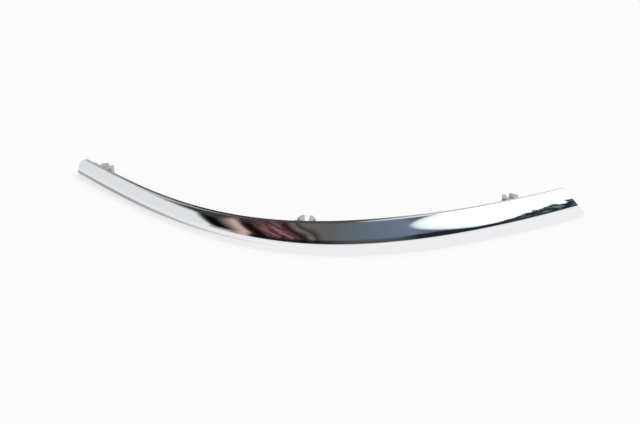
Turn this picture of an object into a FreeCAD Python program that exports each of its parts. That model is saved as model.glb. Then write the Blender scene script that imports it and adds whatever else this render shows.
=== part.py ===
import FreeCAD, Part
import math
import os

from FreeCAD import Vector

# Chrome-plated bumper moulding: a tapering, crowned strip that bends round the corner of a bumper,
# held by three nylon snap clips on its back.
#
# The strip is one injection-moulded channel: a crowned face over a tight nose, a return along its top
# and its bottom, a wall across each end, cross ribs, two locating pegs and a slotted housing for each
# clip. It stands on its lower return, as it would be set down on a bench.
#
# Frame: X runs along the chord from the narrow outer end to the tall inner end, Y points to the back
# and Z points up, with the origin under the middle of the footprint. Lengths are in millimetres.
# A section lies across the strip. Its depth runs back from the lower edge, and its height runs up.

# Plan of the lower edge: one cubic curve over a straight chord
CHORD = 626.0
OUTER_END_ANGLE = 33.4
INNER_END_ANGLE = 34.3
OUTER_HANDLE = 273.0
INNER_HANDLE = 342.0

# Height of the strip, and how far from each end of the lower edge it starts to grow
OUTER_HEIGHT = 26.3
INNER_HEIGHT = 40.2
TAPER_FROM_OUTER_END = 110.0
TAPER_FROM_INNER_END = 215.0

# Section of the skin: the angles are those of the outward normal over the horizontal
WALL = 2.0
EDGE_RADIUS = 2.5
UNDERCUT_ANGLE = 50.0
NOSE_ANGLE = 12.0
CROWN_ANGLE = 40.0
CROWN_TO_NOSE = 5.5
RETURN_DEPTH = 2.0
SECTIONS = 17
LOFT_MARGIN = 0.02

# Ends: reach past the end of the lower edge, lean of the end, and its rounded corners
OUTER_REACH = 0.5
OUTER_RAKE = 0.0
OUTER_CORNER = 9.0
INNER_REACH = 6.0
INNER_RAKE = 35.5
INNER_CORNER = 5.0

# Depth that the lower return is faced off, so that it stands flat
FACED_OFF = 0.1

# Cross ribs inside the channel
RIB_THICKNESS = 1.2
RIB_PITCH = 60.0
RIB_SETBACK = 2.0

# Round locating pegs, each at the same distance from its end of the lower edge
PEG_FROM_END = 183.0
PEG_HEIGHT = 11.0
PEG_RADIUS = 3.0
PEG_LENGTH = 8.0
PEG_CHAMFER = 0.8
PEG_BOSS_RADIUS = 5.0

# Snap clips: distance of the outer and inner one from their ends, and how far the middle of each clip
# hangs below the strip's top
OUTER_CLIP_FROM_END = 31.5
INNER_CLIP_FROM_END = 91.0
OUTER_CLIP_DROP = 12.5
CLIP_DROP = 9.5
FLANGE_LENGTH = 18.0
FLANGE_HEIGHT = 12.0
FLANGE_THICKNESS = 1.6
NECK_WIDTH = 7.4
COLLAR_LENGTH = 17.0
COLLAR_HEIGHT = 15.0
COLLAR_THICKNESS = 1.5
PRONG_LENGTH = 14.0
PRONG_HEIGHT = 13.0
PRONG_GAP = 6.0
PRONG_ROOT = 3.6
PRONG_BARB = 7.8
PRONG_TIP = 3.0
BARB_START = 3.8
BARB_END = 6.6
CLIP_ROUND = 0.8

# Clip housings
CLIP_CLEARANCE = 0.15
PLATE_THICKNESS = 3.0
PLATE_PROUD = 2.0
HOUSING_WALL = 2.0
HOUSING_ROOM = 1.0

UP = Vector(0, 0, 1)


def rad(degrees):
    return math.radians(degrees)


def plan_poles():
    """The four poles of the lower edge's curve."""
    start = Vector(0, 0, 0)
    end = Vector(CHORD, 0, 0)
    leaving = Vector(math.cos(rad(OUTER_END_ANGLE)), -math.sin(rad(OUTER_END_ANGLE)), 0)
    arriving = Vector(math.cos(rad(INNER_END_ANGLE)), math.sin(rad(INNER_END_ANGLE)), 0)
    return [start, start + leaving * OUTER_HANDLE, end - arriving * INNER_HANDLE, end]


def plan_point(t):
    """Point and unit tangent of the lower edge. The curve runs on smoothly outside 0 to 1."""
    a, b, c, d = plan_poles()
    s = 1.0 - t
    point = a * s ** 3 + b * (3 * s * s * t) + c * (3 * s * t * t) + d * t ** 3
    slope = (b - a) * (3 * s * s) + (c - b) * (6 * s * t) + (d - c) * (3 * t * t)
    return point, slope.normalize()


def plan_lengths(steps=2000):
    """Distance along the lower edge at even steps of the curve's parameter."""
    lengths = [0.0]
    last = plan_point(0.0)[0]
    for i in range(1, steps + 1):
        point = plan_point(i / steps)[0]
        lengths.append(lengths[-1] + (point - last).Length)
        last = point
    return lengths


LENGTHS = plan_lengths()
EDGE_LENGTH = LENGTHS[-1]


def parameter_at(distance):
    """Parameter of the curve at a distance along the lower edge."""
    steps = len(LENGTHS) - 1
    for i in range(steps):
        if LENGTHS[i + 1] >= distance:
            share = (distance - LENGTHS[i]) / (LENGTHS[i + 1] - LENGTHS[i])
            return (i + share) / steps
    return 1.0


def distance_at(t):
    """Distance along the lower edge at a parameter of the curve."""
    steps = len(LENGTHS) - 1
    i = min(max(int(t * steps), 0), steps - 1)
    return LENGTHS[i] + (LENGTHS[i + 1] - LENGTHS[i]) * (t * steps - i)


def height_at(distance):
    """Height of the strip, easing from the outer height into the inner one."""
    run = EDGE_LENGTH - TAPER_FROM_OUTER_END - TAPER_FROM_INNER_END
    share = (distance - TAPER_FROM_OUTER_END) / run
    share = min(max(share, 0.0), 1.0)
    return OUTER_HEIGHT + (INNER_HEIGHT - OUTER_HEIGHT) * share * share * (3.0 - 2.0 * share)


class Station:
    """A plane across the strip: where it is, which way is back, and how the section grows there."""

    def __init__(self, t):
        self.origin, self.along = plan_point(t)
        self.back = UP.cross(self.along)
        self.height = height_at(distance_at(t))
        self.arcs = self.section_arcs()
        self.back_depth = self.arcs[-1][0] + RETURN_DEPTH

    def section_arcs(self):
        """Arcs of the outer skin from the floor up: centre depth, centre height, radius, two angles."""
        under, nose, crown = rad(UNDERCUT_ANGLE), rad(NOSE_ANGLE), rad(CROWN_ANGLE)
        rolls = EDGE_RADIUS * (2.0 - math.sin(under) - math.sin(crown))
        rise = math.sin(nose) + math.sin(under) + CROWN_TO_NOSE * (math.sin(crown) - math.sin(nose))
        nose_radius = (self.height - rolls) / rise
        right = math.pi / 2
        steps = ((EDGE_RADIUS, -right, -under), (nose_radius, -under, nose),
                 (nose_radius * CROWN_TO_NOSE, nose, crown), (EDGE_RADIUS, crown, right))
        depth = EDGE_RADIUS * math.cos(under)
        level = 0.0
        arcs = []
        for radius, start, end in steps:
            centre_depth = depth + radius * math.cos(start)
            centre_level = level - radius * math.sin(start)
            arcs.append((centre_depth, centre_level, radius, start, end))
            depth = centre_depth - radius * math.cos(end)
            level = centre_level + radius * math.sin(end)
        return arcs

    def place(self, along, depth, level):
        """A point from its distance along the strip, its depth and its height."""
        return self.origin + self.along * along + self.back * depth + UP * level

    def section(self, inset, back_depth, along=0.0):
        """Closed outline of the skin, moved inwards, down to a depth behind the lower edge."""
        edges = []
        for centre_depth, centre_level, radius, start, end in self.arcs:
            points = []
            for angle in (start, (start + end) / 2, end):
                reach = radius - inset
                depth = centre_depth - reach * math.cos(angle)
                points.append(self.place(along, depth, centre_level + reach * math.sin(angle)))
            edges.append(Part.Arc(*points).toShape())
        bottom = self.place(along, back_depth, inset)
        top = self.place(along, back_depth, self.height - inset)
        edges.append(Part.makeLine(points[-1], top))
        edges.append(Part.makeLine(top, bottom))
        edges.append(Part.makeLine(bottom, edges[0].Vertexes[0].Point))
        return Part.Wire(edges)

    def block(self, along, depth, level):
        """Box between two distances along, two depths and two heights."""
        corners = [(along[0], level[0]), (along[1], level[0]), (along[1], level[1]), (along[0], level[1])]
        points = [self.place(a, depth[0], z) for a, z in corners]
        face = Part.Face(Part.makePolygon(points + points[:1]))
        return face.extrude(self.back * (depth[1] - depth[0]))


def station_at(distance):
    return Station(parameter_at(distance))


def sweep(inset, extra_depth):
    """Solid of the section, moved inwards, along the whole strip and a little past its ends."""
    wires = []
    for i in range(SECTIONS):
        t = -LOFT_MARGIN + (1.0 + 2.0 * LOFT_MARGIN) * i / (SECTIONS - 1)
        station = Station(t)
        wires.append(station.section(inset, station.back_depth + extra_depth))
    return Part.makeLoft(wires, True, False)


def rounded_corner(before, corner, after, radius):
    """Points of a rounded corner: where its arc starts, its middle and its end."""
    first = (before - corner).normalize()
    second = (after - corner).normalize()
    half = first.getAngle(second) / 2
    middle = (first + second).normalize()
    centre = corner + middle * (radius / math.sin(half))
    run = radius / math.tan(half)
    return corner + first * run, centre - middle * radius, corner + second * run


def end_cutter(station, side, reach, rake, corner, inset):
    """Block that trims an end to its raked, rounded outline. The side is -1 outer or 1 inner."""
    size = 2.0 * station.height
    low, high = inset, station.height - inset
    shift = inset / math.cos(rad(rake))

    def spot(along, level):
        return station.place(side * along, -size, level)

    def rake_at(level):
        return reach - shift - level * math.tan(rad(rake))

    inner_low, inner_high = spot(-size, low), spot(-size, high)
    foot, head = spot(rake_at(low), low), spot(rake_at(high), high)
    radius = corner - inset
    a, b, c = rounded_corner(inner_low, foot, head, radius)
    d, e, f = rounded_corner(foot, head, inner_high, radius)
    edges = [Part.makeLine(inner_low, a), Part.Arc(a, b, c).toShape(), Part.makeLine(c, d),
             Part.Arc(d, e, f).toShape(), Part.makeLine(f, inner_high), Part.makeLine(inner_high, inner_low)]
    kept = Part.Face(Part.Wire(edges)).extrude(station.back * (3.0 * size))
    along = sorted((-side * size / 2, side * size))
    whole = station.block(along, (-size, 2.0 * size), (-size, station.height + size))
    return whole.cut(kept)


def trimmed(solid, inset):
    """The swept solid with both its ends trimmed, moved inwards by the inset."""
    outer = end_cutter(Station(0.0), -1, OUTER_REACH, OUTER_RAKE, OUTER_CORNER, inset)
    inner = end_cutter(Station(1.0), 1, INNER_REACH, INNER_RAKE, INNER_CORNER, inset)
    return solid.cut(outer).cut(inner)


def clip_places():
    """Each clip's distance along the lower edge and the height of its middle."""
    places = {"clip_outer": (OUTER_CLIP_FROM_END, OUTER_CLIP_DROP),
              "clip_middle": (EDGE_LENGTH / 2, CLIP_DROP),
              "clip_inner": (EDGE_LENGTH - INNER_CLIP_FROM_END, CLIP_DROP)}
    return {name: (distance, height_at(distance) - drop) for name, (distance, drop) in places.items()}


def peg_stations():
    return [station_at(PEG_FROM_END), station_at(EDGE_LENGTH - PEG_FROM_END)]


def cross_ribs():
    """Even cross ribs, less those that would stand in a clip housing or a peg."""
    taken = [distance for distance, level in clip_places().values()]
    taken += [PEG_FROM_END, EDGE_LENGTH - PEG_FROM_END]
    room = housing_half_length() + HOUSING_WALL
    ribs = []
    for i in range(int((EDGE_LENGTH - INNER_HEIGHT) / RIB_PITCH)):
        distance = RIB_PITCH * (i + 1)
        if min(abs(distance - other) for other in taken) > room:
            station = station_at(distance)
            back = station.back_depth - RIB_SETBACK
            half = RIB_THICKNESS / 2
            ribs.append(station.block((-half, half), (-station.height, back), (0.0, station.height)))
    return ribs


def peg_boss(station):
    """Thick foot of a locating peg, from in front of the skin to the open back."""
    length = station.height + station.back_depth
    return Part.makeCylinder(PEG_BOSS_RADIUS, length, station.place(0.0, -station.height, PEG_HEIGHT),
                             station.back)


def locating_peg(station):
    """Round peg that stands out behind the channel, with a chamfered tip."""
    root = station.back_depth - PEG_RADIUS
    straight = station.back_depth + PEG_LENGTH - PEG_CHAMFER
    shaft = Part.makeCylinder(PEG_RADIUS, straight - root, station.place(0.0, root, PEG_HEIGHT),
                              station.back)
    tip = Part.makeCone(PEG_RADIUS, PEG_RADIUS - PEG_CHAMFER, PEG_CHAMFER,
                        station.place(0.0, straight, PEG_HEIGHT), station.back)
    return shaft.fuse(tip)


def housing_half_length():
    return FLANGE_LENGTH / 2 + HOUSING_ROOM + HOUSING_WALL


def plate_depths(station):
    """Front and back of the plate that a clip hangs on. It stands proud of the open back."""
    back = station.back_depth + PLATE_PROUD
    return back - PLATE_THICKNESS, back


def housing_walls(station):
    """The two ribs at the sides of a clip housing."""
    outside = housing_half_length()
    inside = outside - HOUSING_WALL
    depth = (-station.height, station.back_depth)
    level = (0.0, station.height)
    return [station.block((-outside, -inside), depth, level), station.block((inside, outside), depth, level)]


def housing_plate(station):
    """The slotted plate before its slot is cut."""
    half = housing_half_length()
    return station.block((-half, half), plate_depths(station), (WALL / 2, station.height - WALL / 2))


def housing_slot(station, level):
    """T-shaped slot that the clip slides into: the neck's gap and the flange's channel."""
    plate_front, plate_back = plate_depths(station)
    opening = housing_half_length() + HOUSING_WALL
    neck = NECK_WIDTH / 2 + CLIP_CLEARANCE
    behind = plate_back + PLATE_PROUD
    gap = station.block((0.0, opening), (plate_front, behind), (level - neck, level + neck))
    seat = Part.makeCylinder(neck, behind - plate_front, station.place(0.0, plate_front, level),
                             station.back)
    flange = FLANGE_HEIGHT / 2 + CLIP_CLEARANCE
    front = plate_front - FLANGE_THICKNESS - CLIP_CLEARANCE
    channel = station.block((0.0, opening), (front, plate_front), (level - flange, level + flange))
    return gap.fuse([seat, channel])


def prong(station, side, root, level):
    """One springy prong with a barb, from the collar to its rounded tip."""
    inner = PRONG_GAP / 2
    tip = root + PRONG_LENGTH
    outline = [(inner, root), (inner + PRONG_ROOT, root), (inner + PRONG_ROOT, root + BARB_START),
               (inner + PRONG_BARB, root + BARB_END), (inner + PRONG_TIP, tip), (inner, tip)]
    points = [station.place(side * along, depth, level - PRONG_HEIGHT / 2) for along, depth in outline]
    solid = Part.Face(Part.makePolygon(points + points[:1])).extrude(UP * PRONG_HEIGHT)
    foot = station.place(0.0, root + BARB_START / 2, level)
    upright = [edge for edge in solid.Edges if abs(edge.BoundBox.ZLength - PRONG_HEIGHT) < CLIP_ROUND
               and (edge.CenterOfMass - foot).dot(station.back) > 0]
    return solid.makeFillet(CLIP_ROUND, upright)


def clip(station, level):
    """Snap clip: flange inside the housing, neck in its slot, collar behind it and two prongs."""
    plate_front, plate_back = plate_depths(station)
    collar_back = plate_back + COLLAR_THICKNESS
    flange = station.block((-FLANGE_LENGTH / 2, FLANGE_LENGTH / 2),
                           (plate_front - FLANGE_THICKNESS, plate_front),
                           (level - FLANGE_HEIGHT / 2, level + FLANGE_HEIGHT / 2))
    neck = Part.makeCylinder(NECK_WIDTH / 2, PLATE_THICKNESS, station.place(0.0, plate_front, level),
                             station.back)
    collar = station.block((-COLLAR_LENGTH / 2, COLLAR_LENGTH / 2), (plate_back, collar_back),
                           (level - COLLAR_HEIGHT / 2, level + COLLAR_HEIGHT / 2))
    prongs = [prong(station, side, collar_back, level) for side in (-1, 1)]
    return flange.fuse([neck, collar] + prongs).removeSplitter()


def floor_block():
    """Block that faces the lower return off flat."""
    width = CHORD + 4 * INNER_HEIGHT
    deep = CHORD
    corner = Vector(-2 * INNER_HEIGHT, -deep / 2, -INNER_HEIGHT)
    return Part.makeBox(width, deep, INNER_HEIGHT, corner)


def moulding():
    """The whole strip: the skin less the core that shapes its ribbed back, then the clip slots."""
    skin = trimmed(sweep(0.0, 0.0), 0.0)
    core = trimmed(sweep(WALL, 2 * RETURN_DEPTH), WALL)
    clips = [(station_at(distance), level) for distance, level in clip_places().values()]
    left_standing = cross_ribs() + [peg_boss(station) for station in peg_stations()]
    plates = [housing_plate(station) for station, level in clips]
    for station, level in clips:
        left_standing += housing_walls(station)
    strip = skin.cut(core.cut(left_standing + plates))
    strip = strip.fuse(plates + [locating_peg(station) for station in peg_stations()])
    strip = strip.cut([housing_slot(station, level) for station, level in clips])
    strip.translate(Vector(0, 0, -FACED_OFF))
    return strip.cut(floor_block())


def main():
    nodes = {"moulding": moulding()}
    for name, (distance, level) in clip_places().items():
        nodes[name] = clip(station_at(distance), level)
        nodes[name].translate(Vector(0, 0, -FACED_OFF))
    box = FreeCAD.BoundBox()
    for shape in nodes.values():
        box.add(shape.optimalBoundingBox())
    shift = Vector(-box.Center.x, -box.Center.y, 0.0)
    os.makedirs("parts", exist_ok=True)
    for name, shape in nodes.items():
        shape.translate(shift)
        shape.exportStep("parts/" + name + ".step")
        print(name, len(shape.Solids), "solid", shape.isValid(), round(shape.Volume, 1), "mm3")
    print("size", round(box.XLength, 2), round(box.YLength, 2), round(box.ZLength, 2), "low", box.ZMin)
    print("lower edge", round(EDGE_LENGTH, 2), "shift", round(shift.x, 3), round(shift.y, 3))


main()
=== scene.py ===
import math
from collections import namedtuple

import bmesh
import bpy
from bpy.props import FloatProperty, FloatVectorProperty, PointerProperty
from bpy.types import Operator, Panel, PropertyGroup
from mathutils import Matrix, Vector


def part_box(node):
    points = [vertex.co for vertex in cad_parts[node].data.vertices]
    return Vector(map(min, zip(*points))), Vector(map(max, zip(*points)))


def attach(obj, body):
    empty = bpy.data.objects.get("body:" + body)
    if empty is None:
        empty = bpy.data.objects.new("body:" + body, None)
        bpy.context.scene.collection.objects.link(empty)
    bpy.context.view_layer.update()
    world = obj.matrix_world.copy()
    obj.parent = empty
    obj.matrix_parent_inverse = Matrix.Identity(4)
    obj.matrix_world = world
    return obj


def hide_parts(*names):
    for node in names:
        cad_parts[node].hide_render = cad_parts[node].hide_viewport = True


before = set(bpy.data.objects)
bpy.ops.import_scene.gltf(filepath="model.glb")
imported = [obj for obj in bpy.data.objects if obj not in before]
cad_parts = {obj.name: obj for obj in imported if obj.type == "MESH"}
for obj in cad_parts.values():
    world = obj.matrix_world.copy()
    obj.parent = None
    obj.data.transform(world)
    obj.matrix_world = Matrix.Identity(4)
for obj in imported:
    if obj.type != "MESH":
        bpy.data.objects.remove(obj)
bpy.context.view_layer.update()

bl_info = {
    "name": "Chrome bumper moulding",
    "version": (1, 0, 0),
    "blender": (4, 5, 0),
    "location": "View3D > Sidebar > Moulding",
    "description": "Builds a chrome-plated bumper moulding with its snap clips and a small studio",
    "category": "Object",
}

BODY = "root"
MM = 0.001
# Vertices closer than this are one
MERGE = 1e-6


def length(name, description, millimetres):
    return FloatProperty(name=name, description=description, default=millimetres * MM, unit="LENGTH")


def angle(name, description, degrees):
    return FloatProperty(name=name, description=description, default=math.radians(degrees), subtype="ANGLE")


def colour(name, description, value):
    return FloatVectorProperty(name=name, description=description, default=value, size=3, subtype="COLOR",
                               min=0.0, max=1.0)


class StripSizes(PropertyGroup):
    chord: length("Chord", "Straight distance between the ends of the lower edge", 626.0)
    outer_end_angle: angle("Outer end angle", "Turn of the lower edge at the narrow end", 33.4)
    inner_end_angle: angle("Inner end angle", "Turn of the lower edge at the tall end", 34.3)
    outer_handle: length("Outer handle", "Length of the curve's handle at the narrow end", 273.0)
    inner_handle: length("Inner handle", "Length of the curve's handle at the tall end", 342.0)
    outer_height: length("Outer height", "Height of the strip at the narrow end", 26.3)
    inner_height: length("Inner height", "Height of the strip at the tall end", 40.2)
    taper_from_outer: length("Taper from outer end", "Where the strip starts to grow", 110.0)
    taper_from_inner: length("Taper from inner end", "Where the strip stops growing", 215.0)
    wall: length("Wall", "Thickness of the plastic", 2.0)
    edge_radius: length("Edge radius", "Roll between the face and its returns", 2.5)
    end_round: length("End round", "Rounding between the face and the end walls", 1.4)
    return_depth: length("Return depth", "How far the upper return runs back", 2.0)
    faced_off: length("Faced off", "Depth that the lower return is cut flat", 0.1)
    undercut: angle("Undercut", "Lean of the face at its lower edge", 50.0)
    nose_angle: angle("Nose angle", "Lean of the face where its nose ends", 12.0)
    crown_angle: angle("Crown angle", "Lean of the face at its upper edge", 40.0)
    crown_to_nose: FloatProperty(name="Crown to nose", description="Crown radius over nose radius",
                                 default=5.5)
    outer_reach: length("Outer reach", "Narrow end past the end of the lower edge", 0.5)
    outer_corner: length("Outer corner", "Corner radius of the narrow end", 9.0)
    inner_reach: length("Inner reach", "Tall end past the end of the lower edge", 6.0)
    inner_corner: length("Inner corner", "Corner radius of the tall end", 5.0)
    inner_rake: angle("Inner rake", "Lean of the tall end", 35.5)


class BackSizes(PropertyGroup):
    rib_thickness: length("Rib thickness", "Thickness of a cross rib", 1.2)
    rib_pitch: length("Rib pitch", "Distance between cross ribs", 60.0)
    rib_setback: length("Rib setback", "How far a rib stays inside the open back", 2.0)
    peg_from_end: length("Peg from end", "Distance of each peg from its end of the strip", 183.0)
    peg_height: length("Peg height", "Height of the pegs over the lower edge", 11.0)
    peg_radius: length("Peg radius", "Radius of a locating peg", 3.0)
    peg_length: length("Peg length", "Length of a peg behind the channel", 8.0)
    peg_chamfer: length("Peg chamfer", "Chamfer round a peg's tip", 0.8)
    peg_boss: length("Peg boss radius", "Radius of a peg's foot", 5.0)
    clip_from_outer: length("Outer clip from end", "Distance of the outer clip from its end", 31.5)
    clip_from_inner: length("Inner clip from end", "Distance of the inner clip from its end", 91.0)
    outer_clip_drop: length("Outer clip drop", "Middle of the outer clip below the top", 12.5)
    clip_drop: length("Clip drop", "Middle of the other clips below the top", 9.5)
    housing_half: length("Housing half length", "Half the length of a clip housing", 12.0)
    housing_wall: length("Housing wall", "Thickness of a housing's side walls", 2.0)
    plate_thickness: length("Plate thickness", "Thickness of a housing's slotted plate", 3.0)
    plate_proud: length("Plate proud", "How far a plate stands out of the open back", 2.0)
    slot_half: length("Slot half width", "Half the width of a clip's slot", 3.85)
    channel_half: length("Channel half height", "Half the height of the flange's channel", 6.15)
    channel_depth: length("Channel depth", "Depth of the flange's channel", 1.75)
    landing_radius: length("Landing radius", "Radius of an ejector pin's landing", 2.4)
    landing_rise: length("Landing rise", "How far a landing stands out of the wall", 0.5)


class FinishColours(PropertyGroup):
    chrome: colour("Chrome", "Bright plating on the face", (0.86, 0.87, 0.88))
    back: colour("Plated back", "Dull plating inside the channel", (0.42, 0.43, 0.44))
    nylon: colour("Nylon", "Natural grey nylon of the clips", (0.46, 0.46, 0.455))
    floor: colour("Floor", "Pale studio floor", (0.90, 0.90, 0.905))


class StudioSizes(PropertyGroup):
    view_azimuth: angle("View azimuth", "Camera's turn to the right of the strip's front", 8.99)
    view_elevation: angle("View elevation", "Camera's height over the floor", 31.0)
    view_distance: length("View distance", "Camera's distance from its target", 1066.8)
    target_x: length("Target across", "Where the camera looks, along the chord", 3.0)
    target_y: length("Target back", "Where the camera looks, to the back", 24.6)
    lens: FloatProperty(name="Lens", description="Focal length in millimetres", default=50.0)
    sky: FloatProperty(name="Soft light", description="Strength of the even light", default=0.74)
    key: FloatProperty(name="Key light", description="Strength of the key lamp", default=1.15)


# Share of the wall that ribs, housings and pegs reach into
BITE = 0.3
# Middle of a pin landing, as a share of the strip's height
LANDING_LEVEL = 0.56
# Small roundings
BOSS_RIM, PEG_ROOT, PEG_SHOULDER, PEG_TIP = 0.5 * MM, 0.7 * MM, 0.3 * MM, 0.2 * MM
LANDING_RIM, HOUSING_EDGE, CLIP_EDGE = 0.2 * MM, 0.35 * MM, 0.4 * MM
# Steps of the hidden back's curves
WEB_ROWS, SLOT_STEPS, PEG_SEGMENTS, LANDING_SEGMENTS, RIB_ROWS = 18, 16, 40, 28, 16
# Clips and pegs whose places are kept free of ribs and landings
STATIONS = 5


Section = namedtuple("Section", "height nose_radius nose_depth nose_level crown_radius crown_depth "
                                "crown_level nose_angle back_depth")


def mixed(a, b, share):
    return a + (b - a) * share


def smooth(share):
    share = min(max(share, 0.0), 1.0)
    return share * share * (3.0 - 2.0 * share)


class LowerEdge:
    """The plan curve of the strip's lower edge, drawn a little past both its ends."""

    MARGIN = 0.03
    STEPS = 4000

    def __init__(self, strip):
        start = Vector((0, 0, 0))
        end = Vector((strip.chord, 0, 0))
        leaving = Vector((math.cos(strip.outer_end_angle), -math.sin(strip.outer_end_angle), 0))
        arriving = Vector((math.cos(strip.inner_end_angle), math.sin(strip.inner_end_angle), 0))
        self.poles = [start, start + leaving * strip.outer_handle, end - arriving * strip.inner_handle, end]
        low, high = -self.MARGIN, 1.0 + self.MARGIN
        self.long_poles = [self.blossom(a, b, c) for a, b, c in
                           ((low, low, low), (low, low, high), (low, high, high), (high, high, high))]
        self.lead = self.measure(low, 0.0)
        self.length = self.measure(0.0, 1.0)

    def blossom(self, a, b, c):
        """Pole of a stretch of the curve, by repeated straight mixing."""
        points = self.poles
        for share in (a, b, c):
            points = [p.lerp(q, share) for p, q in zip(points, points[1:])]
        return points[0]

    def measure(self, low, high):
        total = 0.0
        last = self.blossom(low, low, low)
        for i in range(1, self.STEPS + 1):
            t = mixed(low, high, i / self.STEPS)
            point = self.blossom(t, t, t)
            total += (point - last).length
            last = point
        return total


def height_at(strip, edge, along):
    run = edge.length - strip.taper_from_outer - strip.taper_from_inner
    return mixed(strip.outer_height, strip.inner_height, smooth((along - strip.taper_from_outer) / run))


def section_at(strip, height):
    """Arcs of the face: a tight nose under a wide crown, both tangent to the rolled edges."""
    under, nose, crown = strip.undercut, strip.nose_angle, strip.crown_angle
    rolls = strip.edge_radius * (2.0 - math.sin(under) - math.sin(crown))
    rise = math.sin(nose) + math.sin(under) + strip.crown_to_nose * (math.sin(crown) - math.sin(nose))
    radius = (height - rolls) / rise
    wide = radius * strip.crown_to_nose
    nose_depth = radius * math.cos(under)
    nose_level = strip.edge_radius * (1.0 - math.sin(under)) + radius * math.sin(under)
    crown_depth = nose_depth + (wide - radius) * math.cos(nose)
    crown_level = nose_level - (wide - radius) * math.sin(nose)
    top = crown_depth + (strip.edge_radius - wide) * math.cos(crown)
    return Section(height, radius, nose_depth, nose_level, wide, crown_depth, crown_level, nose,
                   top + strip.return_depth)


def lean_at(section, level, inset):
    """Lean of the face at a height."""
    junction = section.nose_level + (section.nose_radius - inset) * math.sin(section.nose_angle)
    if level <= junction:
        return math.asin(max(-1.0, (level - section.nose_level) / (section.nose_radius - inset)))
    return math.asin(min(1.0, (level - section.crown_level) / (section.crown_radius - inset)))


def face_point(section, lean, inset):
    """Depth and height of the face where it has a given lean."""
    if lean <= section.nose_angle:
        radius, depth, level = section.nose_radius, section.nose_depth, section.nose_level
    else:
        radius, depth, level = section.crown_radius, section.crown_depth, section.crown_level
    radius -= inset
    return depth - radius * math.cos(lean), level + radius * math.sin(lean)


Edge = namedtuple("Edge", "along level out_along out_level rounding fan_along")


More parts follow.
